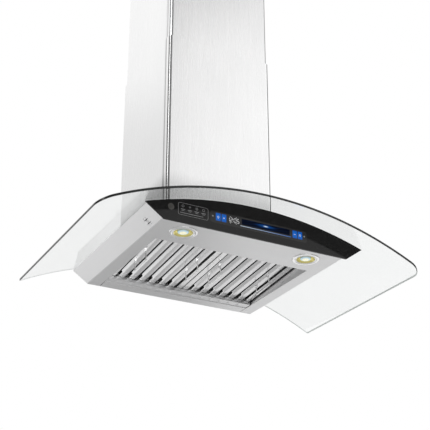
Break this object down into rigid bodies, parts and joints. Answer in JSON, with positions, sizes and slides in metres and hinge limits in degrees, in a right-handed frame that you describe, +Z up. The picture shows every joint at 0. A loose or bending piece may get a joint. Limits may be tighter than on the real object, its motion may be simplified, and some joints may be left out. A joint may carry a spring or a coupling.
{
  "type": "chimney range hood",
  "caption": "Chimney range hood with a curved glass canopy, black glass control fascia, tilting baffle filters with bail handles, grease tray, lamps and a telescoping cover over its blower.",
  "frame": {"origin": "the middle of the four wall bolts, in the wall plane behind the chimney", "axes": "+X to the cook's right, +Y towards the wall, +Z up; the controls face -Y"},
  "size_m": [0.9, 0.575, 1.1027],
  "materials": {
    "brushed_steel_cover": "satin brushed",
    "bright_steel": "fine polish",
    "filter_steel": "bright rolled",
    "zinc_sheet": "plain zinc",
    "canopy_glass": "clear",
    "black_glass": "gloss",
    "display_film": "gloss",
    "screen": "lit",
    "key_blue": "lit",
    "white_print": "printed",
    "sensor_dark": "gloss",
    "silicone": "clear grey",
    "board_green": "lacquered",
    "lamp_gold": "mirror gold",
    "lamp_lens": "lit",
    "cast_alloy": "cast",
    "wheel_plastic": "moulded",
    "dark_plastic": "moulded",
    "motor_paint": "semi-gloss"
  },
  "bodies": {
    "hood": {"body_screws": "bright_steel", "body_shell": "brushed_steel_cover", "bottom_panel": "brushed_steel_cover", "cable_gland": "dark_plastic", "clock_digits": "white_print", "control_board": "board_green", "control_box": "zinc_sheet", "damper_pins": "bright_steel", "display_panel": "display_film", "display_screen": "screen", "duct_collar": "dark_plastic", "fascia_bracket": "zinc_sheet", "fascia_glass": "black_glass", "filter_catches": "bright_steel", "filter_surround": "brushed_steel_cover", "glass_canopy": "canopy_glass", "glass_gaskets": "silicone", "glass_screws": "bright_steel", "hanging_plate": "zinc_sheet", "inlet_rings": "dark_plastic", "left_lamp_bezel": "bright_steel", "left_lamp_heat_sink": "cast_alloy", "left_lamp_lens": "lamp_lens", "left_lamp_reflector": "lamp_gold", "left_side_panel": "brushed_steel_cover", "lower_chimney_front": "brushed_steel_cover", "lower_chimney_rear": "brushed_steel_cover", "motor": "motor_paint", "motor_deck": "zinc_sheet", "motor_mount": "zinc_sheet", "right_lamp_bezel": "bright_steel", "right_lamp_heat_sink": "cast_alloy", "right_lamp_lens": "lamp_lens", "right_lamp_reflector": "lamp_gold", "right_side_panel": "brushed_steel_cover", "scroll_housing": "zinc_sheet", "sensor_window": "sensor_dark", "touch_keys": "key_blue", "white_marks": "white_print"},
    "upper_chimney": {"upper_chimney_front": "brushed_steel_cover", "upper_chimney_rear": "brushed_steel_cover", "top_bracket": "zinc_sheet", "bracket_screws": "bright_steel"},
    "wheel": {"blower_wheel": "wheel_plastic", "motor_shaft": "bright_steel"},
    "front_flap": {"front_damper_flap": "zinc_sheet"},
    "rear_flap": {"rear_damper_flap": "zinc_sheet"},
    "tray": {"grease_tray": "brushed_steel_cover"},
    "left_filter": {"left_filter_frame": "filter_steel", "left_lower_baffles": "filter_steel", "left_upper_baffles": "filter_steel", "left_handle_clips": "bright_steel"},
    "left_bail_one": {"left_handle_one": "bright_steel"},
    "left_bail_two": {"left_handle_two": "bright_steel"},
    "right_filter": {"right_filter_frame": "filter_steel", "right_lower_baffles": "filter_steel", "right_upper_baffles": "filter_steel", "right_handle_clips": "bright_steel"},
    "right_bail_one": {"right_handle_one": "bright_steel"},
    "right_bail_two": {"right_handle_two": "bright_steel"}
  },
  "joints": [
    {"name": "chimney_extension", "type": "slide", "parent": "hood", "child": "upper_chimney", "axis": [0, 0, 1], "range_m": [-0.16, 0.1]},
    {"name": "wheel_spin", "type": "hinge", "parent": "hood", "child": "wheel", "pos_m": [0, -0.15, -0.02787], "axis": [1, 0, 0], "continuous": true},
    {"name": "front_flap_hinge", "type": "hinge", "parent": "hood", "child": "front_flap", "pos_m": [0, -0.20661, 0.08963], "axis": [-1, 0, 0], "range_deg": [0, 78]},
    {"name": "rear_flap_hinge", "type": "hinge", "parent": "hood", "child": "rear_flap", "pos_m": [0, -0.19861, 0.08963], "axis": [1, 0, 0], "range_deg": [0, 78]},
    {"name": "tray_drop", "type": "slide", "parent": "hood", "child": "tray", "axis": [0, 0, -1], "range_m": [0, 0.05]},
    {"name": "left_filter_tilt", "type": "hinge", "parent": "hood", "child": "left_filter", "pos_m": [-0.1095, -0.0815, -0.19823], "axis": [1, 0, 0], "range_deg": [0, 60]},
    {"name": "left_bail_one_swing", "type": "hinge", "parent": "left_filter", "child": "left_bail_one", "pos_m": [-0.1895, -0.21786, -0.19231], "axis": [0, 0.9968, -0.0799], "range_deg": [-75, 75]},
    {"name": "left_bail_two_swing", "type": "hinge", "parent": "left_filter", "child": "left_bail_two", "pos_m": [-0.0395, -0.21786, -0.19231], "axis": [0, 0.9968, -0.0799], "range_deg": [-75, 75]},
    {"name": "right_filter_tilt", "type": "hinge", "parent": "hood", "child": "right_filter", "pos_m": [0.1095, -0.0815, -0.19823], "axis": [1, 0, 0], "range_deg": [0, 60]},
    {"name": "right_bail_one_swing", "type": "hinge", "parent": "right_filter", "child": "right_bail_one", "pos_m": [0.0295, -0.21786, -0.19231], "axis": [0, 0.9968, -0.0799], "range_deg": [-75, 75]},
    {"name": "right_bail_two_swing", "type": "hinge", "parent": "right_filter", "child": "right_bail_two", "pos_m": [0.1795, -0.21786, -0.19231], "axis": [0, 0.9968, -0.0799], "range_deg": [-75, 75]}
  ]
}
